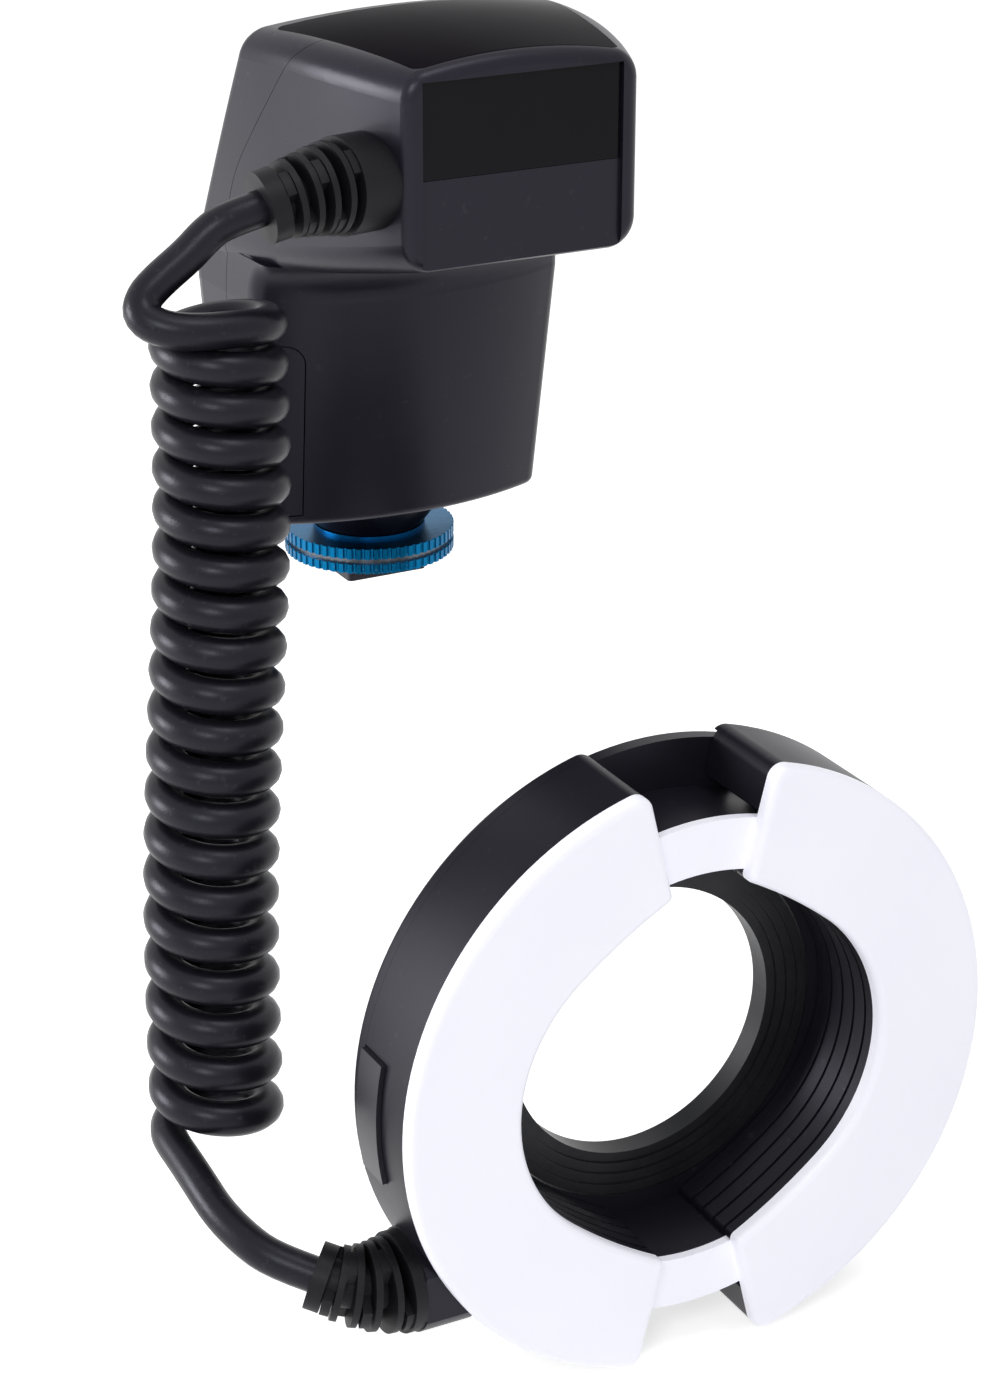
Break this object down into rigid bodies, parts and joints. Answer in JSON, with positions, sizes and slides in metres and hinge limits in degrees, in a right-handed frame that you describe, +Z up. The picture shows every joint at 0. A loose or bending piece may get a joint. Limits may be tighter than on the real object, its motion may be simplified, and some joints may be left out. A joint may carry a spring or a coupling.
{
  "type": "macro ring flash",
  "caption": "Macro ring flash: a wedge-headed control unit on a hot-shoe foot, joined by a curly cord to a split white ring head.",
  "frame": {"origin": "middle of the shoe foot's underside", "axes": "+X to the right seen from the front, -Y towards the subject, +Z up out of the shoe"},
  "size_m": [0.1539, 0.1645, 0.2438],
  "materials": {
    "case_black": "fine satin grain",
    "ring_black": "smooth satin",
    "gloss_black": "polished",
    "dark_window": "polished dark tint",
    "display_grey": "flat",
    "button_grey": "satin",
    "steel": "turned",
    "brass": "plated",
    "cell_wrap": "printed sleeve",
    "board_green": "solder mask",
    "wheel_blue": "anodised blue",
    "cord_rubber": "satin",
    "diffuser_white": "frosted opal",
    "adapter_black": "black anodised",
    "reflector_silver": "bright",
    "tube_glass": "clear",
    "light_clear": "clear lens"
  },
  "bodies": {
    "control_unit": {"front_shell": "case_black", "rear_cover": "case_black", "foot_collar": "case_black", "top_panel": "gloss_black", "transceiver_window": "dark_window", "display_window": "dark_window", "display_panel": "display_grey", "door_hinge_pin": "steel", "case_screws": "steel", "foot_screws": "steel", "foot_contacts": "brass", "battery_contacts": "brass", "battery_magazine": "case_black", "battery_cells": "cell_wrap", "main_board": "board_green", "radio_board": "board_green", "main_capacitor": "cell_wrap", "transformer": "gloss_black", "shoe_foot": "case_black", "upper_strain_relief": "cord_rubber", "cord_upper_lead": "cord_rubber", "cord_coil": "cord_rubber", "cord_lower_lead": "cord_rubber", "ring_centre_frame": "case_black", "bridge_diffusers": "diffuser_white"},
    "control_dial": {"control_dial": "gloss_black"},
    "set_button": {"set_button": "case_black"},
    "power_button": {"power_button": "button_grey"},
    "test_button": {"test_button": "button_grey"},
    "lamp_button": {"lamp_button": "button_grey"},
    "battery_door": {"battery_door": "case_black"},
    "lock_wheel": {"lock_wheel": "wheel_blue", "lock_wheel_band": "steel"},
    "locking_pin": {"locking_pin": "steel"},
    "adapter_ring": {"adapter_ring": "adapter_black"},
    "left_half": {"diffuser_left": "diffuser_white", "ring_housing_left": "ring_black", "ring_cover_left": "ring_black", "reflector_left": "reflector_silver", "flash_tube_left": "tube_glass", "lamp_board_left": "board_green", "modelling_lights_left": "light_clear", "guide_screws_left": "steel", "lower_strain_relief": "cord_rubber"},
    "right_half": {"diffuser_right": "diffuser_white", "ring_housing_right": "ring_black", "ring_cover_right": "ring_black", "reflector_right": "reflector_silver", "flash_tube_right": "tube_glass", "lamp_board_right": "board_green", "modelling_lights_right": "light_clear", "guide_screws_right": "steel"},
    "release_button_left": {"release_button_left": "gloss_black"},
    "release_button_right": {"release_button_right": "gloss_black"}
  },
  "joints": [
    {"name": "dial_turn", "type": "hinge", "parent": "control_unit", "child": "control_dial", "pos_m": [0, 0.00323, 0.08145], "axis": [0, 0.8854, 0.4648], "continuous": true},
    {"name": "set_button_press", "type": "slide", "parent": "control_unit", "child": "set_button", "axis": [0, -0.8854, -0.4648], "range_m": [0, 0.0005], "stiffness_N_per_m": 600},
    {"name": "power_button_press", "type": "slide", "parent": "control_unit", "child": "power_button", "axis": [0, -0.8854, -0.4648], "range_m": [0, 0.0005], "stiffness_N_per_m": 600},
    {"name": "test_button_press", "type": "slide", "parent": "control_unit", "child": "test_button", "axis": [0, -0.8854, -0.4648], "range_m": [0, 0.0005], "stiffness_N_per_m": 600},
    {"name": "lamp_button_press", "type": "slide", "parent": "control_unit", "child": "lamp_button", "axis": [0, -0.8854, -0.4648], "range_m": [0, 0.0005], "stiffness_N_per_m": 600},
    {"name": "door_hinge", "type": "hinge", "parent": "control_unit", "child": "battery_door", "pos_m": [-0.03138, 0.0005, 0.04], "axis": [0.0839, 0, -0.9965], "range_deg": [0, 90]},
    {"name": "wheel_turn", "type": "hinge", "parent": "control_unit", "child": "lock_wheel", "pos_m": [0, 0, 0.006], "axis": [0, 0, 1], "range_deg": [0, 360]},
    {"name": "pin_drop", "type": "slide", "parent": "control_unit", "child": "locking_pin", "axis": [0, 0, -1], "range_m": [0, 0.0022]},
    {"name": "adapter_release", "type": "slide", "parent": "control_unit", "child": "adapter_ring", "axis": [0, 1, 0], "range_m": [0, 0.012]},
    {"name": "left_slide", "type": "slide", "parent": "control_unit", "child": "left_half", "axis": [1, 0, 0], "range_m": [0, 0.006]},
    {"name": "right_slide", "type": "slide", "parent": "control_unit", "child": "right_half", "axis": [-1, 0, 0], "range_m": [0, 0.006]},
    {"name": "release_button_left_press", "type": "slide", "parent": "left_half", "child": "release_button_left", "axis": [1, 0, 0], "range_m": [0, 0.0012], "stiffness_N_per_m": 500},
    {"name": "release_button_right_press", "type": "slide", "parent": "right_half", "child": "release_button_right", "axis": [-1, 0, 0], "range_m": [0, 0.0012], "stiffness_N_per_m": 500}
  ],
  "couplings": [
    {"joint": "pin_drop", "follows": "wheel_turn", "m_per_rad": 0.00035}
  ]
}
